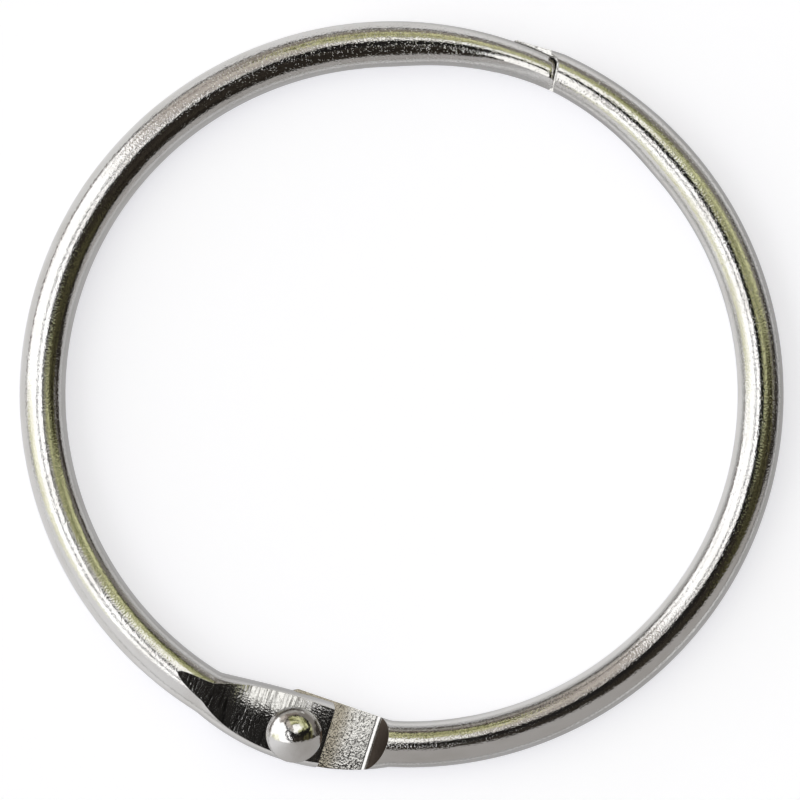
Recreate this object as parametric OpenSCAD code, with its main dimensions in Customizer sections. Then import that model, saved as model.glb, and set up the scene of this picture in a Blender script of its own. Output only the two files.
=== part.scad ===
// Binder ring: two half rings of round wire, riveted together at a lapped hinge and closed
// by a nose that lies in a lapped socket. The ring lies flat. +Z is its front, where the
// rivet's domed head is, and z = 0 is the surface that the wire lies on.

/* [Ring] */
// Inside diameter of each half's arc
inside_d = 49.5; // [38:0.5:76]
// Diameter of the round wire
wire_d = 3.5; // [3.2:0.1:4]
// Distance between the centres of the two arcs, left to right
arc_spread = 1.36; // [0:0.04:2]

/* [Hinge] */
// Direction of the rivet, seen from the middle of the ring
hinge_angle = 252.5; // [240:0.5:262]
// How far the rivet stands outside the wire's middle line
rivet_out = 0.45; // [0:0.05:0.5]
// Width of a hinge leaf at the rivet
leaf_w = 5.3; // [5:0.1:6]
// Thickness of one leaf
leaf_t = 1.4; // [1.1:0.05:1.6]
// How far the front leaf is pressed towards the middle of the ring
front_leaf_inward = 0.25; // [0:0.05:0.35]
// How far the rear leaf is pressed towards the middle of the ring
rear_leaf_inward = 0; // [0:0.05:0.3]
// Height that the wire's end would swell to if it weren't pressed flat
swell_h = 5.2; // [4.6:0.1:5.6]
// Length of the swelling on each side of the rivet
swell_l = 7.2; // [6.6:0.1:8]
// Distance from the rivet to the tip of the pressed face
ramp_tip = 9.8; // [8.5:0.1:11]
// Distance from the rivet to where the pressed face reaches the leaf's thickness
ramp_foot = 4.9; // [3.5:0.1:6]
// Length of leaf past the rivet
leaf_past = 2.4; // [2.2:0.1:3]
// Distance from the rivet to the foot of the milled shoulder
shoulder_foot = 5.8; // [5:0.1:6.4]
// Slope of the milled shoulder
shoulder_slope = 58; // [40:1:75]
// Radius of the front leaf's inner corner
front_corner_r = 0.9; // [0.4:0.05:1.2]
// Radius of the rear leaf's inner corner
rear_corner_r = 3; // [1:0.1:3.2]
// Gap between the two leaves
leaf_gap = 0.05; // [0.02:0.01:0.1]

/* [Rivet] */
// Diameter of the domed head
head_d = 4.25; // [3.6:0.05:4.4]
// Height of the domed head
head_h = 1; // [0.8:0.05:1.6]
// Diameter of the shank
shank_d = 2; // [1.6:0.05:2.2]
// Diameter of the flattened tail
tail_d = 3.2; // [2.6:0.1:3.6]
// Running clearance round the shank and under the head
rivet_fit = 0.05; // [0.02:0.01:0.1]

/* [Closure] */
// Direction of the parting line, seen from the middle of the ring
parting_angle = 64.2; // [50:0.1:75]
// Length of the lap from the parting line to the tip of the tongue
lap_l = 4.1; // [3.5:0.1:5]
// Gap at the tips of the nose and the tongue
tip_gap = 0.15; // [0.1:0.05:0.4]
// Gap between the lapped faces
lap_gap = 0.12; // [0.1:0.02:0.2]
// Width of the nose at its tip
nose_w = 2.38; // [2.2:0.02:2.6]
// Height of the nose's crest over the ring's middle plane, at its tip
nose_h = 1.5; // [1.3:0.05:1.6]
// Radius of the nose's outer corner
nose_corner_r = 0.45; // [0.35:0.05:0.6]
// Radius of the nose's inner corner
nose_inner_r = 0.5; // [0.3:0.05:0.8]
// How much further the nose reaches on its inner side than on its outer side
nose_lean = 0.35; // [0:0.05:0.5]
// Length over which the left half tapers towards the nose
nose_taper_l = 12; // [9:0.5:15]
// Width of the right half at the parting line
socket_w = 2.95; // [2.8:0.05:3.1]
// Length over which the right half tapers towards the parting line
socket_taper_l = 10.5; // [8:0.5:13]
// How far the socket's lip reaches along the nose's outer corner
lip_l = 1; // [0.6:0.1:1.2]
// How much narrower the tongue is than the socket, on the outside
tongue_step = 0.25; // [0.2:0.05:0.6]
// Length of the flat that is pressed on the nose's inner side
nose_flat_l = 7; // [5:0.5:9]
// Length of the rounding at the nose's front edge
nose_round_l = 0.5; // [0.3:0.05:0.6]
// Radius of the pip that locates the nose on the tongue
pip_r = 0.7; // [0.5:0.05:0.9]

/* [Hidden] */

LEFT = -1;
RIGHT = 1;
wire_r = wire_d / 2;
arc_r = inside_d / 2 + wire_r;
leaf_r = leaf_w / 2;
shank_r = shank_d / 2;
tail_h = wire_r - leaf_t;
full_turn = 360;
// More than any cut needs to reach
reach = 3 * wire_d;
// How far a loft runs on past the cut that ends it, and into the round wire
spare_l = 0.6;
// How much smaller a loft is than the round wire where it runs into it
loft_inset = 0.01;
// Sides of a lofted section, and steps along each loft
section_sides = 40;
swell_steps = 24;
taper_steps = 16;
round_steps = 7;
// Steps along a corner of the nose's outline
corner_steps = 8;
// Edges of the nose's flat, as directions in the wire's section
flat_from = 108;
flat_to = 180;
// Exponent of the tapers at the closure
taper_power = 1.4;
// Length over which the tongue narrows
tongue_taper_l = 2.5;
// Gap between the shank and the hole that it is riveted into
rivet_seat = 0.01;
// How much narrower the flattened tail is at its face
tail_bevel = 0.15;
// Radii of the leaf's outer corner and of the tongue's corners
leaf_outer_corner_r = 0.35;
tongue_corner_r = 0.45;
// How far the pip's crown stays clear of the nose
pip_clear = 0.02;
pip_h = lap_gap - pip_clear;
// Facets of outlines and of round bodies
outline_facets = 32;
round_facets = 96;
arc_facets = 240;

// Places in the ring's middle plane, seen from the middle of the ring
function polar(r, a) = [r * cos(a), r * sin(a)];
rivet_at = polar(arc_r + rivet_out, hinge_angle);
parting_at = polar(arc_r, parting_angle);

// The same places, seen from the centre of one half's arc
function arc_centre(side) = [side * arc_spread / 2, 0];
function from_centre(side, at) = at - arc_centre(side);
function own_angle(side, at) =
    let (v = from_centre(side, at), a = atan2(v[1], v[0])) a < 0 ? a + full_turn : a;
function own_distance(side, at) = norm(from_centre(side, at));
function hinge_end(side) = own_angle(side, rivet_at);
function closure_end(side) = own_angle(side, parting_at) + (side == RIGHT ? full_turn : 0);

// Angle that a length along the wire's middle line takes up
function arc_angle(length) = length / arc_r * 180 / PI;
function leaf_inward(side) = side == LEFT ? front_leaf_inward : rear_leaf_inward;
function mix(a, b, t) = a + (b - a) * t;
function unit_range(t) = max(0, min(1, t));

// A lofted stretch of wire. Each section is an oval in a plane through the arc's axis:
// [angle, middle radius, half width, top, bottom, flat, lean]. Where flat is 1, a straight
// chord replaces the oval between the flat's two edges. The lean turns the section out of
// that plane, by an angle for each millimetre away from its middle.
function oval(s, t) = [s[2] * cos(t), sin(t) * (sin(t) > 0 ? s[3] : s[4])];
function section_point(s, t) =
    let (
        on_flat = t > flat_from && t < flat_to,
        chord = mix(oval(s, flat_from), oval(s, flat_to), (t - flat_from) / (flat_to - flat_from)),
        p = on_flat ? mix(oval(s, t), chord, s[5]) : oval(s, t),
        a = s[0] + s[6] * p[0]
    )
    [(s[1] + p[0]) * cos(a), (s[1] + p[0]) * sin(a), p[1]];

module loft(sections) {
    n = section_sides;
    last = len(sections) - 1;
    backwards = sections[0][0] < sections[last][0];
    points = [for (k = [0 : last], i = [0 : n - 1])
        section_point(sections[backwards ? last - k : k], i * full_turn / n)];
    polyhedron(
        points = points,
        faces = concat(
            [[for (i = [0 : n - 1]) i]],
            [for (k = [0 : last - 1], i = [0 : n - 1])
                let (a = k * n + i, b = k * n + (i + 1) % n) each [[a, a + n, b], [b, a + n, b + n]]],
            [[for (i = [n - 1 : -1 : 0]) last * n + i]]
        ),
        convexity = 4
    );
}

// The round wire of one half, between its two lofted ends
module wire_arc(side, taper_l) {
    from = hinge_end(side) + side * arc_angle(swell_l);
    to = closure_end(side) - side * arc_angle(taper_l);
    rotate_extrude(angle = side * (to - from), start = min(from, to), $fn = arc_facets)
        translate([arc_r, 0]) circle(r = wire_r, $fn = round_facets);
}

// Frames: x runs from the joint along the half's own wire, and y points away from the
// middle of the ring. At the hinge, z is the half's own outer side.
module hinge_frame(side) {
    translate(rivet_at)
        rotate([side == RIGHT ? 180 : 0, 0, hinge_angle + side * 90]) children();
}

module closure_frame() {
    translate(parting_at) rotate(parting_angle + 90) mirror([0, 1, 0]) children();
}

// A prism across the wire, from an outline in x and z
module across(outline) {
    rotate([90, 0, 0]) linear_extrude(2 * reach, center = true) polygon(outline);
}

// The swollen wire end that the leaf is pressed and milled from. It swells in width and
// towards the half's outer side only.
module swelling(side) {
    from = -leaf_past - spare_l;
    inward = leaf_inward(side);
    lap_side = wire_r - loft_inset;
    steps = [for (i = [0 : swell_steps]) mix(from, swell_l, i / swell_steps)];
    loft([
        for (s = concat(steps, [swell_l + spare_l]))
            let (
                swell = max(0, 1 - pow(s / swell_l, 2)),
                outer_side = mix(wire_r, swell_h / 2, swell) - loft_inset,
                heights = side == LEFT ? [outer_side, lap_side] : [lap_side, outer_side]
            )
            [hinge_end(side) + side * arc_angle(s), arc_r - inward * swell,
                mix(wire_r, leaf_r, swell) - loft_inset, heights[0], heights[1], 0, 0]
    ]);
}

// What pressing and milling take off the swollen end
module leaf_cuts(side, bore_r) {
    ramp = (wire_r - leaf_t) / (ramp_tip - ramp_foot);
    lap = leaf_gap / 2;
    end_swell = 1 - pow(leaf_past / swell_l, 2);
    end_r = mix(wire_r, leaf_r, end_swell);
    inner_r = side == LEFT ? front_corner_r : rear_corner_r;
    end_y = arc_r - own_distance(side, rivet_at) - leaf_inward(side) * end_swell
        - pow(leaf_past, 2) / (2 * arc_r);
    hinge_frame(side) {
        // Pressed face and its ramp
        across([[-reach, leaf_t], [ramp_foot, leaf_t], [ramp_tip + wire_d, wire_r + wire_d * ramp],
            [ramp_tip + wire_d, reach], [-reach, reach]]);
        // Milled lap and its shoulder
        across([[-reach, lap], [shoulder_foot, lap],
            [shoulder_foot + reach / tan(shoulder_slope), lap - reach], [-reach, lap - reach]]);
        // End of the leaf
        linear_extrude(2 * reach, center = true) difference() {
            translate([-leaf_past - reach, -reach]) square([reach + inner_r, 2 * reach]);
            hull() {
                translate([-leaf_past + inner_r, end_y - end_r + inner_r])
                    circle(r = inner_r, $fn = 2 * outline_facets);
                translate([-leaf_past + leaf_outer_corner_r, end_y + end_r - leaf_outer_corner_r])
                    circle(r = leaf_outer_corner_r, $fn = outline_facets);
                translate([inner_r, -reach / 2]) square([reach, reach]);
            }
        }
        cylinder(r = bore_r, h = 2 * reach, center = true, $fn = round_facets);
    }
}

// Width of a half at a distance from the parting line
function closure_w(s, tip_w, taper_l) =
    mix(tip_w, wire_d, pow(unit_range(s / taper_l), taper_power));

// Where the nose's front edge is at its outer corner, and how it leans from there inwards
nose_from = (tip_gap + nose_lean) / 2;
nose_slope = nose_lean / (nose_w - nose_corner_r - nose_inner_r);
nose_outer_y = arc_r + wire_r - own_distance(LEFT, parting_at);
nose_corner_y = nose_outer_y - nose_corner_r;
// How far the nose's rounding would run on past the wall that ends it
nose_past = 0.03;
// How far a quarter round at the front edge stands back, at s from the parting line
function quarter_round(s, r) =
    let (left = r - unit_range((s - nose_from + nose_past) / r) * r) r - sqrt(pow(r, 2) - pow(left, 2));

// The left half's end: a pressed nose with a flat on its inner side, whose outer side and
// front edge are rounded off towards the tip. Its sections lean with the front edge.
module nose_loft() {
    shoulder = lap_l + tip_gap / 2;
    round_l = max(nose_corner_r, nose_round_l);
    round_end = nose_from - nose_past;
    steps = concat(
        [for (i = [0 : taper_steps - 1]) mix(nose_taper_l + spare_l, round_end + round_l, i / taper_steps)],
        [for (i = [0 : round_steps]) round_end + round_l * (1 - sin(i * 90 / round_steps))],
        [round_end - nose_lean - spare_l]
    );
    loft([
        for (s = steps)
            let (
                outer = arc_r + wire_r - quarter_round(s, nose_corner_r) - loft_inset,
                inner = arc_r + wire_r - closure_w(s, nose_w, nose_taper_l) + loft_inset,
                middle = (outer + inner) / 2,
                corner = arc_r + wire_r - nose_corner_r,
                lean = s < round_end ? 0 : nose_slope * unit_range(1 - s / nose_taper_l),
                top = mix(nose_h, wire_r, unit_range(s / shoulder)) - quarter_round(s, nose_round_l)
            )
            [closure_end(LEFT) - LEFT * arc_angle(s + lean * (middle - corner)), middle,
                (outer - inner) / 2, top - loft_inset, wire_r - loft_inset,
                unit_range(1 - s / nose_flat_l), -LEFT * arc_angle(lean)]
    ]);
}

// The right half's end: it narrows to the parting line, and the tongue narrows further
module socket_loft() {
    steps = taper_steps + round_steps;
    loft([
        for (i = [0 : steps])
            let (
                s = mix(socket_taper_l + spare_l, -lap_l - spare_l, i / steps),
                step = tongue_step * unit_range(-s / tongue_taper_l),
                r = (closure_w(s, socket_w, socket_taper_l) - step) / 2 - loft_inset,
                height = wire_r - loft_inset
            )
            [closure_end(RIGHT) - RIGHT * arc_angle(s), arc_r + wire_r - step - r - loft_inset, r,
                height, height, 0, 0]
    ]);
}

// Outline of the nose, seen from the front, grown by a gap, with its inner corner at inner_y.
// The whole outline leans with the front edge.
function leaned(p) = [p[0] + nose_slope * (p[1] - nose_corner_y), p[1]];
function corner_points(centre, r, from, to) =
    [for (i = [0 : corner_steps]) let (a = mix(from, to, i / corner_steps))
        leaned(centre + r * [cos(a), sin(a)])];
module nose_outline(corner_r, gap, inner_y) {
    polygon(concat(
        [[reach, nose_outer_y + gap]],
        corner_points([nose_from + corner_r, nose_outer_y - corner_r], corner_r + gap, 90, 180),
        corner_points([nose_from - gap + nose_inner_r, inner_y + nose_inner_r], nose_inner_r, 180, 240),
        [[reach, inner_y - reach]]
    ));
}

// What is milled off the left half to leave the nose in front of the tongue
module nose_cuts() {
    closure_frame() {
        linear_extrude(2 * reach, center = true) difference() {
            translate([-reach, -reach]) square([reach + nose_from + nose_corner_r, 2 * reach]);
            // A sharper corner than the nose's own, so that it is left whole
            nose_outline(nose_corner_r / 2, 0, nose_outer_y - nose_w);
        }
        translate([-reach, -reach, lap_gap / 2 - reach])
            cube([reach + lap_l + tip_gap / 2, 2 * reach, reach]);
        dimple_r = pip_r + pip_clear;
        translate([lap_l / 2, 0, lap_gap / 2 + pip_h - dimple_r]) sphere(r = dimple_r, $fn = round_facets);
    }
}

// What is milled off the right half to leave the tongue, and a wall that follows the nose
module socket_cuts() {
    tongue_tip = lap_l - tip_gap / 2;
    tongue_y = arc_r + wire_r - tongue_step - own_distance(RIGHT, parting_at)
        - pow(lap_l, 2) / (2 * arc_r);
    tongue_w = socket_w - tongue_step;
    closure_frame() {
        translate([0, 0, -lap_gap / 2]) linear_extrude(reach) {
            nose_outline(nose_corner_r, tip_gap, -reach);
            translate([lip_l, -reach]) square([reach, 2 * reach]);
        }
        linear_extrude(2 * reach, center = true) difference() {
            translate([tongue_tip - tongue_corner_r, -reach]) square([reach, 2 * reach]);
            hull() {
                translate([tongue_tip - tongue_corner_r, tongue_y - tongue_corner_r])
                    circle(r = tongue_corner_r, $fn = outline_facets);
                translate([tongue_tip - tongue_corner_r, tongue_y - tongue_w + tongue_corner_r])
                    circle(r = tongue_corner_r, $fn = outline_facets);
                translate([-reach, -reach / 2]) square([reach, reach]);
            }
        }
    }
}

module pip() {
    closure_frame() intersection() {
        translate([lap_l / 2, 0, pip_h - lap_gap / 2 - pip_r]) sphere(r = pip_r, $fn = round_facets);
        translate([0, -reach / 2, -wire_r / 2]) cube([lap_l, reach, wire_r]);
    }
}

module left_half() {
    color("silver") translate([0, 0, wire_r]) difference() {
        translate(arc_centre(LEFT)) union() {
            wire_arc(LEFT, nose_taper_l);
            swelling(LEFT);
            nose_loft();
        }
        leaf_cuts(LEFT, shank_r + rivet_fit);
        nose_cuts();
    }
}

module right_half() {
    color("gainsboro") translate([0, 0, wire_r]) {
        difference() {
            translate(arc_centre(RIGHT)) union() {
                wire_arc(RIGHT, socket_taper_l);
                swelling(RIGHT);
                socket_loft();
            }
            leaf_cuts(RIGHT, shank_r + rivet_seat);
            socket_cuts();
        }
        pip();
    }
}

// Domed head in front, shank through both leaves, and a tail flattened level with the wire
module hinge_rivet() {
    head_r = head_d / 2;
    head_z = leaf_t + rivet_fit;
    dome_r = (pow(head_r, 2) + pow(head_h, 2)) / (2 * head_h);
    tail_r = tail_d / 2;
    color("whitesmoke") translate([rivet_at[0], rivet_at[1], wire_r]) rotate_extrude($fn = round_facets) {
        intersection() {
            translate([0, head_z + head_h - dome_r]) circle(r = dome_r, $fn = arc_facets);
            translate([0, head_z]) square([head_r, head_h]);
        }
        polygon([[0, -wire_r], [tail_r - tail_bevel, -wire_r], [tail_r, -leaf_t - tail_h / 2],
            [tail_r, -leaf_t], [shank_r, -leaf_t], [shank_r, head_z + head_h / 2], [0, head_z + head_h / 2]]);
    }
}

left_half();
right_half();
hinge_rivet();
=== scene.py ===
# %% [markdown]
# # A plated binder ring
# The ring is two half circles of round wire. A rivet joins them at a lapped hinge, and at the
# other end a nose on one half lies in a socket on the other. All of it is bright plated steel,
# so the picture is made of reflections: the shape of the wire, the fine marks on it and the
# studio round it all have to be there. The solids come from the CAD model. This script lays
# smooth, finely marked pieces over them.

# %% Load the solids
import math

import bmesh
import bpy
from mathutils import Matrix, Vector


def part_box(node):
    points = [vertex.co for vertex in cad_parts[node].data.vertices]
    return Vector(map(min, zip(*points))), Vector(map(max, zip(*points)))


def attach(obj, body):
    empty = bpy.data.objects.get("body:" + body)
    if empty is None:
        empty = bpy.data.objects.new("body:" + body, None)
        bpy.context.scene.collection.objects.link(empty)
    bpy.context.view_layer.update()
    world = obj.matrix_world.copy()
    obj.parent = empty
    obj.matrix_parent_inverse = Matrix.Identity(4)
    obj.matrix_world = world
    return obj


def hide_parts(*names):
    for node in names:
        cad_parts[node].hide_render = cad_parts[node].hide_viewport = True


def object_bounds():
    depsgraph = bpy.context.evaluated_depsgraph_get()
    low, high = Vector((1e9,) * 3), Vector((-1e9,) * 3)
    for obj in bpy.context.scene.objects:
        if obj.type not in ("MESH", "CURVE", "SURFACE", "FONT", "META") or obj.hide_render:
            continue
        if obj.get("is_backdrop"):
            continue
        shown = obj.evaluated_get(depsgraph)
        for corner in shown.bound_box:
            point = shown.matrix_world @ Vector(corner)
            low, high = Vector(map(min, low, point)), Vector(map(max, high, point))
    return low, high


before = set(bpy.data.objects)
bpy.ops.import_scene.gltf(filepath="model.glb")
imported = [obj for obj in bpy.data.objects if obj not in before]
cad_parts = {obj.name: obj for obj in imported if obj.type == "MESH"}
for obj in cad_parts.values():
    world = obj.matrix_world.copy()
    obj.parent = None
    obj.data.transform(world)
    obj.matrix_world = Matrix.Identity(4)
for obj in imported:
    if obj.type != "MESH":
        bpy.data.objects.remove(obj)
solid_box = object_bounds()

MM = 0.001
for name in sorted(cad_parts):
    low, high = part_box(name)
    print(name, "is", [round(v / MM, 2) for v in high - low], "mm")

# %% [markdown]
# ## The sizes that everything shares
# The pieces are modelled in millimetres round the ring's middle plane, as a maker would draw
# them, and only the finished mesh is brought to metres and lifted onto the table. Places on
# the ring are easiest as a radius and a direction, so that helper comes first. The two arcs
# have centres of their own, a little apart, so the ring is slightly wider than it is high.

# %% Sizes of the ring
LEFT, RIGHT = -1, 1
SIDE_NAME = {LEFT: "left", RIGHT: "right"}
WIRE_R = 1.75
ARC_R = 26.5
ARC_SPREAD = 1.36
HINGE_DEG = 252.5
RIVET_OUT = 0.45
PARTING_DEG = 64.2


def polar(radius, degrees):
    turned = math.radians(degrees)
    return Vector((radius * math.cos(turned), radius * math.sin(turned), 0))


def arc_centre(side):
    return Vector((side * ARC_SPREAD / 2, 0, 0))


def own_degrees(side, place):
    """Direction of a place, seen from the centre of one half's own arc."""
    seen = place - arc_centre(side)
    return math.degrees(math.atan2(seen.y, seen.x)) % 360


def own_distance(side, place):
    """How far a place is from the centre of one half's own arc."""
    return (place - arc_centre(side)).length


def arc_drop(length):
    """How far the arc has left its tangent after so much wire."""
    return length ** 2 / (2 * ARC_R)


def mix(a, b, t):
    return a + (b - a) * t


def as_object(shape, name, *finishes):
    """Turns a bmesh into an object in the scene, with its finishes in their slots."""
    mesh = bpy.data.meshes.new(name)
    shape.to_mesh(mesh)
    shape.free()
    for finish in finishes:
        mesh.materials.append(finish)
    made = bpy.data.objects.new(name, mesh)
    bpy.context.scene.collection.objects.link(made)
    return made


RIVET_AT = polar(ARC_R + RIVET_OUT, HINGE_DEG)
PARTING_AT = polar(ARC_R, PARTING_DEG)
print("rivet at", [round(v, 2) for v in RIVET_AT])
print("parting line at", [round(v, 2) for v in PARTING_AT])

# %% [markdown]
# ## Camera
# The ring lies flat and is seen from straight above through a long lens, so its round wire
# shows no perspective. The lens is worked out from the width that the picture has to cover.

# %% Make the camera
VIEW_WIDTH = 60.56 * MM
VIEW_CENTRE = Vector((-0.114 * MM, -0.431 * MM, WIRE_R * MM))
CAMERA_HEIGHT = 0.6
SENSOR = 36

camera_data = bpy.data.cameras.new("camera")
camera_data.sensor_width = SENSOR
camera_data.lens = SENSOR * CAMERA_HEIGHT / VIEW_WIDTH
camera = bpy.data.objects.new("camera", camera_data)
camera.location = VIEW_CENTRE + Vector((0, 0, CAMERA_HEIGHT))
bpy.context.scene.collection.objects.link(camera)
bpy.context.scene.camera = camera
bpy.context.scene.view_settings.view_transform = "Standard"
print("lens of", round(camera_data.lens), "mm")

# %% [markdown]
# ## Shader maths as Python
# Marks on metal are sums and products of simple patterns. Nodes can do that sum, but wiring
# dozens of Math nodes by hand hides the idea. This class wraps one socket, so that writing
# `0.1 + 0.2 * noise` adds the nodes. Every other node comes from one method.

# %% Wrap a socket
# The Mix node has sockets of one name for each kind of value, so they go by number.
MIX_FACTOR, MIX_LOW, MIX_HIGH, MIX_RESULT = 0, 6, 7, 2


class Shade:
    def __init__(self, tree, socket):
        self.tree = tree
        self.socket = socket

    def node(self, kind, inputs, output=0, **settings):
        """Adds a node, sets it up, then feeds its sockets with values or shades."""
        made = self.tree.nodes.new(kind)
        for name, value in settings.items():
            setattr(made, name, value)
        for name, value in inputs.items():
            if isinstance(value, Shade):
                self.tree.links.new(value.socket, made.inputs[name])
            else:
                made.inputs[name].default_value = value
        return Shade(self.tree, made.outputs[output]) if made.outputs else None

    def maths(self, operation, *values):
        return self.node("ShaderNodeMath", dict(enumerate(values)), operation=operation)

    def __add__(self, other):
        return self.maths("ADD", self, other)

    def __radd__(self, other):
        return self.maths("ADD", other, self)

    def __sub__(self, other):
        return self.maths("SUBTRACT", self, other)

    def __rsub__(self, other):
        return self.maths("SUBTRACT", other, self)

    def __mul__(self, other):
        return self.maths("MULTIPLY", self, other)

    def __rmul__(self, other):
        return self.maths("MULTIPLY", other, self)

    def __truediv__(self, other):
        return self.maths("DIVIDE", self, other)

    def size(self):
        return self.maths("ABSOLUTE", self)

    def hypot(self, other):
        return self.maths("SQRT", self * self + other * other)

    def larger(self, other):
        return self.maths("MAXIMUM", self, other)

    def ramp_up(self, low, high):
        """0 below low, 1 above high, and a smooth step between."""
        inputs = {"Value": self, "From Min": low, "From Max": high}
        return self.node("ShaderNodeMapRange", inputs, interpolation_type="SMOOTHSTEP")

    def parts(self):
        """The x, y and z of a vector, as three shades."""
        split = self.tree.nodes.new("ShaderNodeSeparateXYZ")
        self.tree.links.new(self.socket, split.inputs[0])
        return [Shade(self.tree, s) for s in split.outputs]

    def vector(self, x, y, z):
        return self.node("ShaderNodeCombineXYZ", {"X": x, "Y": y, "Z": z})

    def noise(self, scale, detail=2.0):
        """Soft random blotches, about 1/scale wide, from 0 to 1."""
        return self.node("ShaderNodeTexNoise", {"Vector": self, "Scale": scale, "Detail": detail})

    def blend(self, low, high):
        """Goes from colour low to colour high as this shade goes from 0 to 1."""
        low, high = [c if isinstance(c, Shade) else (*c, 1) for c in (low, high)]
        inputs = {MIX_FACTOR: self, MIX_LOW: low, MIX_HIGH: high}
        return self.node("ShaderNodeMix", inputs, MIX_RESULT, data_type="RGBA")


print("a shade adds its own nodes")

# %% [markdown]
# ## The studio
# A mirror finish shows whatever stands round it: here a big white light on the left with a
# window bar across it, the dark shape of a person at the lower right, sunlit green leaves at
# the upper right, and darker things along the horizon. They could be cards on stands, but
# cards get in the way of other views. The world can hold the far ones instead: each is a
# sector of the sky, from one azimuth and zenith angle to another, laid over those before it.
# A little noise added to both angles makes the outlines of the sectors irregular.

# %% Paint the studio on the world
TO_DEGREES = 180 / math.pi
WOBBLE_SCALE, AZIMUTH_WOBBLE, ZENITH_WOBBLE = 4.0, 24, 8
LEAVES_ROUND, LEAVES_UP, LEAVES_DETAIL, LEAVES_RANGE = 0.03, 0.11, 4.0, (0.38, 0.62)
SIDE_SOFT, EDGE_SOFT = 4.0, 4.0
HORIZON, BELOW_HORIZON = (88, 94), (0.5, 0.5, 0.5)

world = bpy.data.worlds.new("studio")
bpy.context.scene.world = world
world.use_nodes = True
world.node_tree.nodes.clear()
sky = Shade(world.node_tree, None)
east, north, up = sky.node("ShaderNodeTexCoord", {}, "Generated").parts()
wobble = [sky.vector(east + k, north - k, up).noise(WOBBLE_SCALE) - 0.5 for k in (5, 9)]
level = sky.maths("ARCCOSINE", up) * TO_DEGREES
azimuth = sky.maths("ARCTAN2", north, east) * TO_DEGREES + AZIMUTH_WOBBLE * wobble[0]
zenith = level + ZENITH_WOBBLE * wobble[1]
leafy = sky.vector(azimuth * LEAVES_ROUND, zenith * LEAVES_UP, 0.0).noise(1.0, LEAVES_DETAIL)
leafy = leafy.ramp_up(*LEAVES_RANGE)


def sector(azimuths, zeniths, soft=SIDE_SOFT, edge=EDGE_SOFT):
    """1 inside a part of the sky, 0 outside it, with sides and edges some degrees soft."""
    middle, half = sum(azimuths) / 2, (azimuths[1] - azimuths[0]) / 2
    turn = sky.maths("WRAP", azimuth - middle, 180.0, -180.0)
    across = 1 - turn.size().ramp_up(half - soft, half + soft)
    inner = zenith.ramp_up(zeniths[0] - edge, zeniths[0] + edge)
    outer = 1 - zenith.ramp_up(zeniths[1] - edge, zeniths[1] + edge)
    return across * inner * outer


white, sunlit = (1.7, 1.7, 1.7), (1.5, 1.5, 1.45)
haze = leafy.blend((0.80, 0.80, 0.55), (1.60, 1.60, 1.35))
window_bar = leafy.blend((0.01, 0.01, 0.01), (0.25, 0.25, 0.25))
curtain = leafy.blend((0.22, 0.19, 0.17), (0.74, 0.68, 0.62))
pale_leaves = leafy.blend((0.20, 0.20, 0.06), (1.0, 0.99, 0.58))
leaves = leafy.blend((0.15, 0.15, 0.06), (1.0, 1.02, 0.58))
person = leafy.blend((0.014, 0.012, 0.010), (0.05, 0.042, 0.032))
leafy_edge = leafy.blend((0.015, 0.013, 0.01), (0.14, 0.13, 0.06))
light = leafy.blend((0.47, 0.46, 0.43), (0.54, 0.53, 0.50))
for colour, azimuths, zeniths, *softness in (
    # The white light with its haze and bar, and the foot of its stand.
    (white, (135, 186), (0, 82)),
    (white, (184, 262), (0, 56)),
    (haze, (180, 240), (50, 78)),
    (window_bar, (137, 255), (21.5, 27.5), 3, 0.8),
    ((0.04, 0.035, 0.03), (193, 209), (82, 96)),
    # The far side: a curtain, two low rails, then pale leaves behind two bars.
    (curtain, (102, 135), (14, 74)),
    ((0.05, 0.04, 0.035), (68, 138), (81, 89), 4, 2),
    ((0.16, 0.13, 0.12), (138, 178), (82, 87), 4, 1.5),
    (pale_leaves, (70, 108), (31, 66)),
    ((0.26, 0.22, 0.19), (68, 118), (62, 73), 4, 2),
    ((0.06, 0.06, 0.03), (72, 112), (43, 47), 6, 1),
    # The right side: open sky over leaves, with dark things at the horizon.
    (sunlit, (66, 98), (2, 31)),
    (sunlit, (38, 66), (2, 36)),
    (leaves, (-4, 70), (36, 64)),
    (leaves, (-12, 42), (14, 38)),
    ((0.26, 0.24, 0.22), (0, 80), (64, 84)),
    ((0.03, 0.025, 0.02), (-14, 32), (80, 96)),
    ((0.045, 0.038, 0.033), (-14, 17), (71, 96), 6, 3),
    # The person, and the leaves that darken beside them.
    (person, (-112, -4), (-10, 93), 2, 4),
    (leafy_edge, (-30, 8), (31, 62)),
):
    light = sector(azimuths, zeniths, *softness).blend(light, colour)
light = level.ramp_up(*HORIZON).blend(light, BELOW_HORIZON)
background = light.node("ShaderNodeBackground", {"Color": light, "Strength": 1.0})
background.node("ShaderNodeOutputWorld", {"Surface": background})
print("the studio has", len(world.node_tree.nodes), "nodes")

# %% [markdown]
# ## The table
# A plain white table top, large enough for every view. A weak glow of its own brings it to a
# clean white in the picture and in the ring's reflection, and the shadow of the wire still
# darkens it. The light comes from the upper left, so the wire stands in front of its own
# shadow at the lower right. A mirror finish shows that strip of shade at its edge, and for
# glossy rays it is painted as a soft ring, a little off the wire's own. They also find the
# table shaded inside the ring, along its near side and on its right, and dark farther out on
# the right.

# %% Lay the table top
TABLE_HALF = 2.0
TABLE_WHITE, GLOW_WHITE = (0.62, 0.62, 0.63, 1), (0.98, 0.98, 1.05, 1)
GLOW_SEEN, GLOW_MIRRORED = 0.6, 0.5
SHADE_SHIFT = Vector((5.5 * MM, -2.5 * MM))
SHADE_SHARE, LESS_ON_LEFT, MORE_FAR_OUT, MIDDLE_SHARE = 0.84, 0.14, 0.16, 0.8
SHADE_GLOW, FAR_GLOW_LOSS = 0.42, 0.38
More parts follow.
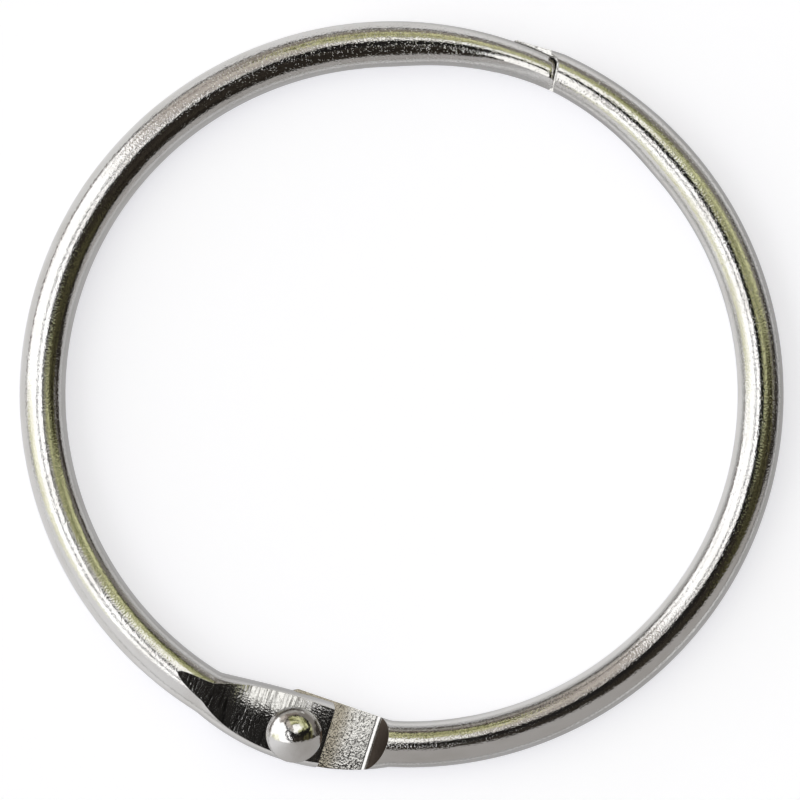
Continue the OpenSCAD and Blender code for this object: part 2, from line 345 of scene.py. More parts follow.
# Where each part of the mirrored shade sets in and is full, in millimetres.
FADES = {"middle": (10, 21), "off the ring": (3, 8.5), "near side": (-36, -27),
         "near edge": (-38, -30), "left": (-30, 0), "right": (28, 38), "far right": (42, 62),
         "back": (15, 60)}


def past(place, name):
    """0 before one of the fades, 1 beyond it."""
    return place.ramp_up(*[v * MM for v in FADES[name]])


paint = bpy.data.materials.new("white_table")
paint.use_nodes = True
paint.node_tree.nodes.clear()
table = Shade(paint.node_tree, None)
matt = table.node("ShaderNodeBsdfDiffuse", {"Color": TABLE_WHITE})
camera_ray, glossy, through = [table.node("ShaderNodeLightPath", {}, f"Is {kind} Ray")
                               for kind in ("Camera", "Glossy", "Transmission")]
seen = GLOW_SEEN * camera_ray + GLOW_MIRRORED * glossy.larger(through)
glow = table.node("ShaderNodeEmission", {"Color": GLOW_WHITE, "Strength": seen})
lit = table.node("ShaderNodeAddShader", {0: matt, 1: glow})
x, y, _ = table.node("ShaderNodeTexCoord", {}, "Object").parts()
middle = 1 - past(x.hypot(y), "middle")
x, y = x - SHADE_SHIFT.x, y - SHADE_SHIFT.y
by_ring = 1 - past((x.hypot(y) - ARC_R * MM).size(), "off the ring")
by_side = (1 - past(y, "near side")).larger(past(x, "right"))
far_right = past(x, "far right") * (1 - past(y, "back"))
share = (SHADE_SHARE - LESS_ON_LEFT * (1 - past(x, "left"))
         + MORE_FAR_OUT * (1 - past(y, "near edge")) + MORE_FAR_OUT * far_right)
shade = glossy * by_ring.larger(by_side).larger(MIDDLE_SHARE * middle) * share
shade_glow = SHADE_GLOW - FAR_GLOW_LOSS * far_right
dim = table.node("ShaderNodeEmission", {"Color": (1, 1, 1, 1), "Strength": shade_glow})
top = table.node("ShaderNodeMixShader", {0: shade, 1: lit, 2: dim})
table.node("ShaderNodeOutputMaterial", {"Surface": top})

top_shape = bmesh.new()
bmesh.ops.create_grid(top_shape, x_segments=1, y_segments=1, size=TABLE_HALF)
as_object(top_shape, "table_top", paint)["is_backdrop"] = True
print("table top of", 2 * TABLE_HALF, "m")

# %% [markdown]
# ## The near shapes
# A few things stand so close that the world, which is endlessly far, can't hold them: each
# part of the ring has to see them from its own place. One is a board on edge along the table
# at the near side, pale on the left and grey on the right. Another is the dark hood of the
# lens, just over the wire, with the hand that holds it. The last is a small white card beside
# the nose, which gives the blade its light. All are hidden from everything but reflections.

# %% Hang the near shapes
BOARD_Y, BOARD_H, BOARD_LEFT_H, BOARD_HALF = -44 * MM, 43 * MM, 37 * MM, 200 * MM
BOARD_STEP, BOARD_FADE = (-60 * MM, 10 * MM), (-50 * MM, 5 * MM)
BOARD_PALE, BOARD_GREY = (0.95, 0.95, 0.96), (0.47, 0.455, 0.44)
HOOD_BLACK, CARD_WHITE = (0.014, 0.013, 0.012), (1.5, 1.5, 1.47)
HOOD_Z, HOOD_HOLE_R, HOOD_R = 31.75 * MM, 24.5 * MM, 31 * MM
HOOD_AT = Vector((3.5 * MM, 2 * MM, HOOD_Z))
HOOD_STEPS, DISC_STEPS = 180, 64
# Each bulge has a direction, a half width and a softness in degrees, and a share of the radius.
RIM_BULGES = ((92, 20, 6, 0.085),)
HOLE_BULGES = ((-61, 31, 8, -0.2), (95, 20, 4, -0.14), (68, 6, 3, 0.17))
GRIP_AT, GRIP_R = polar(29.2, 248) * MM + Vector((0, 0, 31 * MM)), 5.5 * MM
CARD_AT, CARD_R = polar(23, 66) * MM + Vector((0, 0, 12 * MM)), 4 * MM


def glowing(name, left, right, fade=(0, 1)):
    """Plain light that goes from the left colour to the right one between two x values."""
    finish = bpy.data.materials.new(name)
    finish.use_nodes = True
    finish.node_tree.nodes.clear()
    start = Shade(finish.node_tree, None)
    rightness = start.node("ShaderNodeTexCoord", {}, "Object").parts()[0].ramp_up(*fade)
    colour = rightness.blend(left, right)
    shine = start.node("ShaderNodeEmission", {"Color": colour, "Strength": 1.0})
    start.node("ShaderNodeOutputMaterial", {"Surface": shine})
    return finish


def only_reflected(shape, name, finish):
    """A part of the stage that is hidden from the camera and casts no light or shadow."""
    made = as_object(shape, name, finish)
    made.visible_camera = made.visible_diffuse = made.visible_shadow = False
    made.visible_transmission = made.visible_volume_scatter = False
    made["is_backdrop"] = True


def near(turned, middle, half, soft):
    """1 around a direction in degrees, and 0 away from it."""
    return min(1.0, max(0.0, (half - abs(turned - middle)) / soft))


board = bmesh.new()
outline = [(-BOARD_HALF, 0), (BOARD_HALF, 0), (BOARD_HALF, BOARD_H), (BOARD_STEP[1], BOARD_H),
           (BOARD_STEP[0], BOARD_LEFT_H), (-BOARD_HALF, BOARD_LEFT_H)]
board.faces.new([board.verts.new((x, BOARD_Y, z)) for x, z in outline])
only_reflected(board, "board", glowing("grey_board", BOARD_PALE, BOARD_GREY, BOARD_FADE))

hood = bmesh.new()
for radius, centre in ((HOOD_HOLE_R, Vector((0, 0, HOOD_Z))), (HOOD_R, HOOD_AT)):
    bmesh.ops.create_circle(hood, segments=HOOD_STEPS, radius=radius,
                            matrix=Matrix.Translation(centre))
between = (HOOD_HOLE_R + HOOD_R - HOOD_AT.xy.length) / 2
for v in hood.verts:
    bulges = RIM_BULGES if v.co.xy.length > between else HOLE_BULGES
    turned = math.degrees(math.atan2(v.co.y, v.co.x))
    v.co.xy *= 1 + sum(share * near(turned, *bulge) for *bulge, share in bulges)
bmesh.ops.bridge_loops(hood, edges=hood.edges[:])
dark = glowing("dark_hood", HOOD_BLACK, HOOD_BLACK)
pale = glowing("white_card", CARD_WHITE, CARD_WHITE)
only_reflected(hood, "hood", dark)
for name, centre, radius, finish in (("hood_grip", GRIP_AT, GRIP_R, dark),
                                     ("card", CARD_AT, CARD_R, pale)):
    disc = bmesh.new()
    bmesh.ops.create_circle(disc, cap_ends=True, segments=DISC_STEPS, radius=radius,
                            matrix=Matrix.Translation(centre))
    only_reflected(disc, name, finish)
print("board", round(BOARD_H / MM), "mm high, hood over", round(2 * HOOD_R / MM), "mm")

# %% [markdown]
# ## Bending a wire
# The wire is a circle carried round an arc, which is what Spin does. Its two ends are pressed
# and filed to other sections, so they get closer steps than the plain arc. One function then
# gives the section's width and height at each distance from the ends, and the rings of the
# tube are moved to it. A lofted skin could do the same, but a spun one keeps even quads, and
# even quads keep the reflections calm.

# %% Spin the tube
SIDES = 80
TIP_STEP, END_STEP, PLAIN_STEP = 0.03, 0.1, 0.26
LEAF_PAST = 2.4
SPARE = 0.6
TIP_SPARE = 0.8
SWELL_L = 7.2
LAP_L = 4.1
ROUNDED_L = 3
CLOSURE_L = 13.0


def hinge_degrees(side):
    """Where the rivet is, seen from the centre of one half's own arc."""
    return own_degrees(side, RIVET_AT)


def closure_degrees(side):
    """Where the parting line is, past the hinge in the way that the half runs."""
    return own_degrees(side, PARTING_AT) + (360 if side == RIGHT else 0)


def wire_length(side):
    """From the rivet to the parting line, along the middle of the wire."""
    return side * math.radians(closure_degrees(side) - hinge_degrees(side)) * ARC_R


def spun_tube(side):
    """A round tube on one half's arc, which runs on past the hinge and the parting line."""
    past_hinge = LEAF_PAST + SPARE
    past_parting = LAP_L + SPARE if side == RIGHT else TIP_SPARE
    near_hinge, near_closure = past_hinge + SWELL_L + ROUNDED_L, past_parting + CLOSURE_L
    plain = wire_length(side) + past_hinge + past_parting - near_hinge - near_closure
    tip = 2 * TIP_SPARE
    tube = bmesh.new()
    bmesh.ops.create_circle(tube, segments=SIDES, radius=WIRE_R)
    start = math.radians(hinge_degrees(side)) - side * past_hinge / ARC_R
    place = Matrix.Rotation(start, 4, "Z") @ Matrix.Translation((ARC_R, 0, 0))
    bmesh.ops.transform(tube, matrix=place @ Matrix.Rotation(math.pi / 2, 4, "X"),
                        verts=tube.verts)
    ring = tube.edges[:]
    for length, step in ((near_hinge, END_STEP), (plain, PLAIN_STEP),
                         (near_closure - tip, END_STEP), (tip, TIP_STEP)):
        spun = bmesh.ops.spin(tube, geom=ring, cent=(0, 0, 0), axis=(0, 0, 1),
                              angle=side * length / ARC_R, steps=round(length / step))
        ring = [e for e in spun["geom_last"] if isinstance(e, bmesh.types.BMEdge)]
    return tube


trial = spun_tube(LEFT)
print("tube of", len(trial.faces), "faces, spun over", round(wire_length(LEFT), 1), "mm")
trial.free()

# %% [markdown]
# ## The sections along the wire
# Near the rivet the wire swells to a leaf half as wide again. Near the parting line it tapers
# on its inner side, and the nose also has a flat pressed on its inner edge. The changes are
# rounded off where they start, because a plated wire has no sharp crease there.

# %% Move the rings to their sections
LEAF_R = 2.65
SWELL_TOP = 2.6
SWELL_SOFT = 0.05
LEAF_INWARD = {LEFT: 0.25, RIGHT: 0.0}
NOSE_W, NOSE_H, NOSE_TAPER_L, NOSE_FLAT_L, NOSE_ROUND_L = 2.38, 1.5, 12.0, 7.0, 0.5
NOSE_CORNER_R, NOSE_INNER_R, NOSE_LEAN, NOSE_PAST = 0.45, 0.5, 0.35, 0.03
SOCKET_W, SOCKET_TAPER_L = 2.95, 10.5
TAPER_CURVE = 1.4
TONGUE_STEP, TONGUE_TAPER_L = 0.25, 2.5
TIP_GAP = 0.15
NOSE_FROM = (TIP_GAP + NOSE_LEAN) / 2
NOSE_SLOPE = NOSE_LEAN / (NOSE_W - NOSE_CORNER_R - NOSE_INNER_R)
FLAT_FROM, FLAT_TO = math.radians(108), math.radians(180)


def soft_above_zero(value, softness):
    """The value where it is above zero, and nearly 0 elsewhere, with a rounded corner."""
    return (value + math.hypot(value, softness)) / 2


def soft_unit(value, softness=0.1):
    """The value, held under 1 with a rounded shoulder and never under 0."""
    return max(0.0, 1 - soft_above_zero(1 - value, softness))


def taper(end_w, distance, length):
    """The full width on the way from a tapered end to the round wire."""
    return mix(end_w, WIRE_R * 2, soft_unit(distance / length) ** TAPER_CURVE)


def quarter_round(before, radius):
    """How far a quarter round at the nose's front edge stands back."""
    left = radius * (1 - min(1.0, max(0.0, (before - NOSE_FROM + NOSE_PAST) / radius)))
    return radius - math.sqrt(radius ** 2 - left ** 2)


def section(side, s, before):
    """Middle radius, half width, top, bottom and share of flat, at s from the rivet."""
    swell = 0.0
    if s < SWELL_L + ROUNDED_L:
        swell = soft_above_zero(1 - (s / SWELL_L) ** 2, SWELL_SOFT)
    outer = mix(WIRE_R, SWELL_TOP, swell)
    top, bottom = (outer, WIRE_R) if side == LEFT else (WIRE_R, outer)
    width = mix(WIRE_R, LEAF_R, swell)
    middle = ARC_R - LEAF_INWARD[side] * swell
    if side == LEFT and before < NOSE_TAPER_L + ROUNDED_L:
        back = quarter_round(before, NOSE_CORNER_R)
        width = taper(NOSE_W, before, NOSE_TAPER_L)
        middle, width = ARC_R + WIRE_R - (width + back) / 2, (width - back) / 2
        top = mix(NOSE_H, WIRE_R, soft_unit(before / (LAP_L + TIP_GAP / 2)))
        top -= quarter_round(before, NOSE_ROUND_L)
        return middle, width, top, WIRE_R, 1 - soft_unit(before / NOSE_FLAT_L)
    if side == RIGHT and before < SOCKET_TAPER_L + ROUNDED_L:
        step = TONGUE_STEP * soft_unit(max(0.0, -before) / TONGUE_TAPER_L)
        width = (taper(SOCKET_W, max(0.0, before), SOCKET_TAPER_L) - step) / 2
        middle = ARC_R + WIRE_R - step - width
    return middle, width, top, bottom, 0.0


def lean(side, before):
    """How far each millimetre away from the ring's middle sets the nose back."""
    share = soft_unit(1 - before / NOSE_TAPER_L) * min(1.0, max(0.0, 1 + before / TIP_SPARE))
    return NOSE_SLOPE * share if side == LEFT else 0.0


def oval(width, top, bottom, turn):
    """A place on a section whose upper and lower halves have heights of their own."""
    height = top if math.sin(turn) > 0 else bottom
    return Vector((width * math.cos(turn), height * math.sin(turn)))


def shape_wire(tube, side):
    """Moves each vertex of the round tube to the wire's own section at that place."""
    for v in tube.verts:
        angle = math.atan2(v.co.y, v.co.x)
        turned = (math.degrees(angle) - hinge_degrees(side) + 540) % 360 - 180
        s = side * turned * math.radians(1) * ARC_R
        if s < -2 * SWELL_L:
            s += 2 * math.pi * ARC_R
        middle, width, top, bottom, flat = section(side, s, wire_length(side) - s)
        turn = math.atan2(v.co.z, math.hypot(v.co.x, v.co.y) - ARC_R) % (2 * math.pi)
        at = oval(width, top, bottom, turn)
        if flat and FLAT_FROM < turn < FLAT_TO:
            along = (turn - FLAT_FROM) / (FLAT_TO - FLAT_FROM)
            ends = [oval(width, top, bottom, t) for t in (FLAT_FROM, FLAT_TO)]
            at = mix(at, mix(ends[0], ends[1], along), flat)
        radius = middle + at.x
        from_corner = radius - ARC_R - WIRE_R + NOSE_CORNER_R
        angle += lean(side, wire_length(side) - s) * from_corner / ARC_R
        v.co = (radius * math.cos(angle), radius * math.sin(angle), at.y)


def shaped_wire(side):
    """The wire of one half with both ends closed, standing at its own arc's centre."""
    tube = spun_tube(side)
    shape_wire(tube, side)
    bmesh.ops.holes_fill(tube, edges=[e for e in tube.edges if e.is_boundary])
    bmesh.ops.translate(tube, vec=arc_centre(side), verts=tube.verts)
    bmesh.ops.recalc_face_normals(tube, faces=tube.faces)
    return tube


trial = shaped_wire(RIGHT)
print("shaped wire holds", round(trial.calc_volume(), 1), "cubic millimetres")
trial.free()

# %% [markdown]
# ## Cutting like a toolmaker
# The leaves, the nose and the socket are pressed and milled, so they are cut here with solid
# cutters that stand where the tools went. A cutter's outline is a few points, some corners
# rounded by a bevel, pulled up by an extrusion. Each cutter carries the finish that it leaves:
# the Boolean hands it on to the faces that it cuts, and they can be told apart afterwards.

# %% Outline cutters and frames
REACH = 8.0
CORNER_STEPS = 12


def hinge_frame(side):
    """x along the half's wire from the rivet, y away from the ring's middle, z outwards."""
    turned = Matrix.Rotation(math.radians(HINGE_DEG + side * 90), 4, "Z")
    over = Matrix.Rotation(math.pi if side == RIGHT else 0, 4, "X")
    return Matrix.Translation(RIVET_AT) @ turned @ over


def closure_frame():
    """x along the left half's wire from the parting line, y away from the ring's middle."""
    turned = Matrix.Rotation(math.radians(PARTING_DEG + 90), 4, "Z")
    return Matrix.Translation(PARTING_AT) @ turned @ Matrix.Diagonal((1, -1, 1, 1))


def pulled_up(shape, height, frame_at):
    """Makes flat faces a block of that height, and stands it in a frame."""
    pulled = bmesh.ops.extrude_face_region(shape, geom=shape.faces[:])
    bmesh.ops.translate(shape, vec=(0, 0, height),
                        verts=[g for g in pulled["geom"] if isinstance(g, bmesh.types.BMVert)])
    bmesh.ops.transform(shape, matrix=frame_at, verts=shape.verts)
    bmesh.ops.recalc_face_normals(shape, faces=shape.faces)
    return shape


def prism(outline, low, high, frame_at, rounded=None):
    """A block with this outline in x and y, from low to high, with some corners rounded."""
    block = bmesh.new()
    face = block.faces.new([block.verts.new((x, y, low)) for x, y in outline])
    corners = list(face.verts)
    for k, radius in (rounded or {}).items():
        bmesh.ops.bevel(block, geom=[corners[k]], offset=radius, affect="VERTICES",
                        segments=CORNER_STEPS, profile=0.5, material=-1)
    return pulled_up(block, high - low, frame_at)


def across(outline, frame_at, rounded=None):
    """A prism lying across the wire, with its outline in x and z."""
    upright = Matrix.Rotation(math.pi / 2, 4, "X")
    return prism(outline, -REACH, REACH, frame_at @ upright, rounded)


def cut(piece, cutter, *finishes, operation="DIFFERENCE"):
    """Takes the cutter off the piece, and leaves its finishes on the faces that it makes."""
    tool = as_object(cutter, "tool", *finishes)
    step = piece.modifiers.new("cut", "BOOLEAN")
    step.operation, step.object = operation, tool
    step.solver, step.material_mode = "EXACT", "TRANSFER"
    graph = bpy.context.evaluated_depsgraph_get()
    result = bpy.data.meshes.new_from_object(piece.evaluated_get(graph), depsgraph=graph)
    piece.modifiers.clear()
    old, piece.data = piece.data, result
    bpy.data.meshes.remove(old)
    bpy.data.objects.remove(tool)


print("cutters reach", REACH, "mm")

# %% [markdown]
# ## Bright plate on drawn wire
# Wire is pulled through a die, which leaves faint lines along it, and the plate on top adds a
# fine grain. Both are far too small to model, but in a mirror finish they show as ragged edges
# on every reflection. So they go into a Bump node. Its pattern is laid out along the wire: far
# apart along the arc and close together across it. A few pits are added towards the closure,
# and farther down the right half.

# %% Finish of the wire
NICKEL = (0.67, 0.66, 0.65)
NICKEL_DEEP = (0.61, 0.595, 0.575)
EDGE_R, EDGE_SAMPLES = 0.05 * MM, 3
# Blotches to the millimetre, across the wire and along it.
DRAWN, GRAIN = (4, 0.4), (8, 7)
CLOUD_ALONG, CLOUD_SCALE, CLOUD_RANGE = 0.4, 0.8, (0.3, 0.8)
PITS_SCALE, PITS_RANGE = 6.5, (0.6, 0.76)
PITTED_Y = {LEFT: (17, 25), RIGHT: (-16, 8)}
DRAWN_SHARE, GRAIN_SHARE, PITS_SHARE = 0.3, 0.7, 0.6
WIRE_RELIEF, WIRE_ROUGH, CLOUD_ROUGH = 0.018, 0.04, 0.09


def new_finish(name):
    """A material, its first shade, and the place on the piece in millimetres."""
    finish = bpy.data.materials.new(name)
    finish.use_nodes = True
    finish.node_tree.nodes.clear()
    start = Shade(finish.node_tree, None)
    place = start.node("ShaderNodeTexCoord", {}, "Object")
    x, y, z = [part / MM for part in place.parts()]
    return finish, start, x, y, z


def plated(relief, depth, roughness, colour):
    """Bright plate whose relief, from 0 to 1, is that many millimetres deep."""
    rounded = relief.node("ShaderNodeBevel", {"Radius": EDGE_R}, samples=EDGE_SAMPLES)
    normal = relief.node("ShaderNodeBump", {
        "Strength": 1.0, "Distance": depth * MM, "Height": relief, "Normal": rounded})
    plate = relief.node("ShaderNodeBsdfPrincipled", {
        "Base Color": colour, "Metallic": 1.0, "Roughness": roughness, "Normal": normal})
    relief.node("ShaderNodeOutputMaterial", {"Surface": plate})


def bright_wire(side):
    """The wire's finish, whose pattern is wound along one half's own arc."""
    finish, start, x, y, z = new_finish("bright_wire_" + SIDE_NAME[side])
    x = x - arc_centre(side).x
    radius = x.hypot(y)
    along = start.maths("ARCTAN2", y * side, x * side) * ARC_R
    drawn, grain = [start.vector(radius * wide, z * wide, along * long).noise(1.0, detail)
                    for (wide, long), detail in ((DRAWN, 2.0), (GRAIN, 1.0))]
    cloud = start.vector(radius, z, along * CLOUD_ALONG).noise(CLOUD_SCALE)
    pits = start.vector(radius, z, along).noise(PITS_SCALE, 1.0).ramp_up(*PITS_RANGE)
    pits = pits * y.ramp_up(*PITTED_Y[side])
    relief = drawn * DRAWN_SHARE + grain * GRAIN_SHARE - pits * PITS_SHARE
    colour = cloud.ramp_up(*CLOUD_RANGE).blend(NICKEL, NICKEL_DEEP)
    plated(relief, WIRE_RELIEF, WIRE_ROUGH + CLOUD_ROUGH * cloud, colour)
    return finish


wire_finish = {side: bright_wire(side) for side in (LEFT, RIGHT)}
print(wire_finish[LEFT].name, "has", len(wire_finish[LEFT].node_tree.nodes), "nodes")

# %% [markdown]
# ## Pressed and milled faces
# The press squeezes the leaf flat and leaves fine ridges across it, and the cutter that makes
# the lap leaves coarser ones. The plate follows both, so these faces glitter where the wire
# gleams. Their pattern is turned to the rivet's own direction with a little trigonometry. The
# milled faces also lean outwards a little, which a slope in their relief shows.

# %% Finishes of the cut faces
NICKEL_DULL = (0.24, 0.235, 0.23)
# Painted shade where the other leaf's end lies over the milled face and beside it, and how far it
# fades.
LEAF_END_SHADE, LEAF_END_SHADE_FADE = (0.33, 0.30, 0.25), 1.5
RIDGES_SHARE, SPECKS_SHARE, DULL_RANGE = 0.6, 0.4, (0.3, 0.52)
CUT_ROUGH = 0.1
# Dark browns of painted shade for the shoulder that faces back towards the rivet.
SHADED_SHOULDER, SHADED_SHOULDER_DEEP = (0.11, 0.082, 0.062), (0.075, 0.056, 0.044)


def ridged_face(name, frame_at, ridge, run, grit, depth, lean_out=0.0, shaded_to=0.0):
    """Ridges across the wire, so many to the millimetre, and specks. Up to the given distance
    from the rivet it is darkened by painted shade.
    """
    finish, start, x, y, z = new_finish(name)
    along, away, origin = frame_at.col[0], frame_at.col[1], frame_at.translation
    x, y = x - origin.x, y - origin.y
    s = x * along.x + y * along.y
    t = x * away.x + y * away.y
    ridges = start.vector(s * ridge, t * ridge * run, z * ridge * run).noise(1.0)
    specks = start.vector(s, t, z).noise(grit, 1.0)
    colour = ridges.ramp_up(*DULL_RANGE).blend(NICKEL_DULL, NICKEL)
    # Painted shade on the milled face, under and beside the other leaf's end.
    if shaded_to:
        colour = s.ramp_up(shaded_to - LEAF_END_SHADE_FADE, shaded_to).blend(LEAF_END_SHADE, colour)
    relief = ridges * RIDGES_SHARE + specks * SPECKS_SHARE + t * (lean_out / depth)
    plated(relief, depth, CUT_ROUGH, colour)
    return finish


def grainy_face(name, grit, depth, roughness, colour, deeper):
    """Plain grain, so fine, between two colours."""
    finish, start, x, y, z = new_finish(name)
    grain = start.vector(x, y, z).noise(grit)
    plated(grain, depth, roughness, grain.blend(colour, deeper))
    return finish


pressed = {side: ridged_face("pressed_face_" + word, hinge_frame(side), ridge=5.5, run=0.08,
                             grit=6.0, depth=0.021) for side, word in SIDE_NAME.items()}
milled = {side: ridged_face("milled_face_" + word, hinge_frame(side), ridge=6.0, run=0.5,
                            grit=7.0, depth=0.036, lean_out=0.1, shaded_to=4.3)
          for side, word in SIDE_NAME.items()}
milled_lap = ridged_face("milled_lap", closure_frame(), ridge=5.5, run=0.5, grit=5.5,
                         depth=0.03, lean_out=0.14)
sheared = grainy_face("sheared_face", 6.0, 0.006, 0.15, NICKEL, NICKEL_DEEP)
# Painted shade makes the shoulder, which faces back towards the rivet, darker and browner than
# the rest, and it is rougher too.
shaded_shoulder = grainy_face("painted_shade_shoulder", 5.0, 0.01, 0.35, SHADED_SHOULDER, SHADED_SHOULDER_DEEP)
print("cut faces have", len({*pressed.values(), *milled.values(), milled_lap, sheared, shaded_shoulder}),
      "finishes")

# %% [markdown]
# ## The hinge ends
# Each half ends in a leaf. From outside, a press has flattened it to under half the wire's
# height, with a long ramp back up to the round wire. From inside, a mill has taken it down to
# the ring's middle plane, up to a slanted shoulder. The pressed face isn't quite flat: between
# the rivet and the ramp it is crowned and falls off towards the ring's middle, so a gently
# curved grid makes the tool for it.

# %% Cut the leaves
LEAF_T = 1.4
LEAF_GAP = 0.05
RAMP_FOOT, RAMP_TIP, RAMP_SOFT = 4.9, 9.8, 0.3
SHOULDER_FOOT, SHOULDER_DEG = 5.8, 58
CORNER_R = {LEFT: 0.9, RIGHT: 3.0}
OUTER_CORNER_R = 0.35
END_RUN, END_SLANT = 0.3, 0.4
SHANK_R = 1.0
BORE_R = {LEFT: SHANK_R + 0.05, RIGHT: SHANK_R + 0.01}
TURN_STEPS = 96
FOOT_FILLET = 0.28
# The crown sets in beside the rivet and fades out again at the ramp.
CROWN, CROWN_FROM, CROWN_IN = 0.022, -1.6, 2.4
CROWN_TO, CROWN_OUT = RAMP_FOOT + 0.8, 1.6
PRESS_W, PRESS_H, PRESS_AT, PRESS_GRID = 9, 4, (RAMP_TIP + 1) / 2, (60, 30)
LEVEL_DEG, UPRIGHT_DEG = 2, 80


def press_tool(side):
    """Everything above the pressed face and its ramp, in the hinge frame."""
    slope = (WIRE_R - LEAF_T) / (RAMP_TIP - RAMP_FOOT)
    tool = bmesh.new()
    bmesh.ops.create_grid(tool, x_segments=PRESS_GRID[0], y_segments=PRESS_GRID[1], size=0.5)
    bmesh.ops.scale(tool, vec=(RAMP_TIP + PRESS_W, PRESS_W, 1), verts=tool.verts)
    bmesh.ops.translate(tool, vec=(PRESS_AT, 0, 0), verts=tool.verts)
    for v in tool.verts:
        crowned = (soft_unit(max(0.0, CROWN_TO - v.co.x) / CROWN_OUT)
                   * soft_unit(max(0.0, v.co.x - CROWN_FROM) / CROWN_IN))
        crown = CROWN * min(0.0, v.co.y) ** 2 * crowned
        v.co.z = LEAF_T + slope * soft_above_zero(v.co.x - RAMP_FOOT, RAMP_SOFT) - crown
    return pulled_up(tool, PRESS_H, hinge_frame(side))


def lap_tool(side):
    """Everything under the milled lap, up to the shoulder."""
    lap = LEAF_GAP / 2
    run = REACH / math.tan(math.radians(SHOULDER_DEG))
    tool = across([(-REACH, lap), (SHOULDER_FOOT, lap), (SHOULDER_FOOT + run, lap - REACH),
                   (-REACH, lap - REACH)], hinge_frame(side), {1: FOOT_FILLET})
    milled_slot, sheared_slot, shaded_shoulder_slot = range(3)
    for face in tool.faces:
        tilt = math.degrees(math.acos(min(1.0, abs(face.normal.z))))
        if tilt < LEVEL_DEG or tilt > UPRIGHT_DEG:
            face.material_index = milled_slot
        else:
            face.material_index = shaded_shoulder_slot if tilt > SHOULDER_DEG - 1 else sheared_slot
    return tool


def leaf_end_tool(side):
    """What is outside the rounded end of the leaf, seen from the front."""
    end_swell = 1 - (LEAF_PAST / SWELL_L) ** 2
    end_r = mix(WIRE_R, LEAF_R, end_swell)
    end_y = (ARC_R - own_distance(side, RIVET_AT) - LEAF_INWARD[side] * end_swell
             - arc_drop(LEAF_PAST))
    inner = CORNER_R[side]
    x = -LEAF_PAST + inner + END_RUN
    outline = [(-REACH, -REACH), (x, -REACH), (x, end_y - end_r - END_SLANT),
               (-LEAF_PAST, end_y - end_r), (-LEAF_PAST, end_y + end_r),
               (x, end_y + end_r + END_SLANT), (x, REACH), (-REACH, REACH)]
    half_corner = math.pi / 4 + math.atan2(END_SLANT, inner + END_RUN) / 2
    return prism(outline, -REACH, REACH, hinge_frame(side),
                 {3: inner / math.tan(half_corner), 4: OUTER_CORNER_R})


def bore_tool(side):
    """The hole for the rivet's shank."""
    tool = bmesh.new()
    bmesh.ops.create_cone(tool, cap_ends=True, segments=TURN_STEPS, radius1=BORE_R[side],
                          radius2=BORE_R[side], depth=2 * REACH)
    bmesh.ops.transform(tool, matrix=hinge_frame(side), verts=tool.verts)
    return tool


def cut_leaf(piece, side):
    """Presses, mills, trims and drills one hinge end."""
    cut(piece, press_tool(side), pressed[side])
    cut(piece, lap_tool(side), milled[side], sheared, shaded_shoulder)
    cut(piece, leaf_end_tool(side), sheared)
    cut(piece, bore_tool(side), sheared)


left_wire = as_object(shaped_wire(LEFT), "left_wire", wire_finish[LEFT])
right_wire = as_object(shaped_wire(RIGHT), "right_wire", wire_finish[RIGHT])
cut_leaf(left_wire, LEFT)
cut_leaf(right_wire, RIGHT)
print("after the leaves:", len(left_wire.data.polygons), "and", len(right_wire.data.polygons),
      "faces")

# %% [markdown]
# ## The nose and the socket
# The left half ends in a nose that keeps only the front half of the wire. The right half keeps
# the back half as a tongue under it, and its wall follows the nose with an even gap. A small
# pip on the tongue finds a dimple in the nose. The spring of the wire does the rest.

# %% Cut the closure
LAP_GAP = 0.12
LIP_L = 1.0
NOSE_OUTER_Y = ARC_R + WIRE_R - own_distance(LEFT, PARTING_AT)
NOSE_RUN, NOSE_INNER_SLANT, NOSE_OUTER_SLANT = 0.8, 0.2, 0.05
TONGUE_CORNER_R, TONGUE_RUN, TONGUE_SLANT = 0.45, 0.2, 0.3
PIP_R, PIP_CLEAR = 0.7, 0.02
PIP_HEIGHT = LAP_GAP - PIP_CLEAR
BALL_STEPS = 48


def leaning_frame():
    """The closure's frame, leaned as the nose's front edge is."""
    leaned = Matrix.Identity(4)
    leaned[0][1], leaned[0][3] = NOSE_SLOPE, -NOSE_SLOPE * (NOSE_OUTER_Y - NOSE_CORNER_R)
    return closure_frame() @ leaned


def nose_tool():
    """What is in front of the nose. Its outer corner is tight, to spare the nose's own."""
    inner, x = NOSE_OUTER_Y - NOSE_W, NOSE_FROM + NOSE_RUN
    outline = [(-REACH, -REACH), (x, -REACH), (x, inner - NOSE_INNER_SLANT),
               (NOSE_FROM, inner), (NOSE_FROM, NOSE_OUTER_Y),
               (x, NOSE_OUTER_Y + NOSE_OUTER_SLANT), (x, REACH), (-REACH, REACH)]
    return prism(outline, -REACH, REACH, leaning_frame(),
                 {3: NOSE_INNER_R, 4: NOSE_CORNER_R / 2})


def nose_lap_tool():
    """The back half of the wire, as far as the tongue reaches."""
    end = LAP_L + TIP_GAP / 2
    outline = [(-REACH, -REACH), (end, -REACH), (end, REACH), (-REACH, REACH)]
    return prism(outline, LAP_GAP / 2 - REACH, LAP_GAP / 2, closure_frame())


def ball(radius, top):
    """A ball in the middle of the lap, whose top is at this height."""
    made = bmesh.new()
    bmesh.ops.create_uvsphere(made, u_segments=BALL_STEPS, v_segments=BALL_STEPS // 2,
                              radius=radius)
    place = closure_frame() @ Matrix.Translation((LAP_L / 2, 0, top - radius))
    bmesh.ops.transform(made, matrix=place, verts=made.verts)
    bmesh.ops.recalc_face_normals(made, faces=made.faces)
    return made


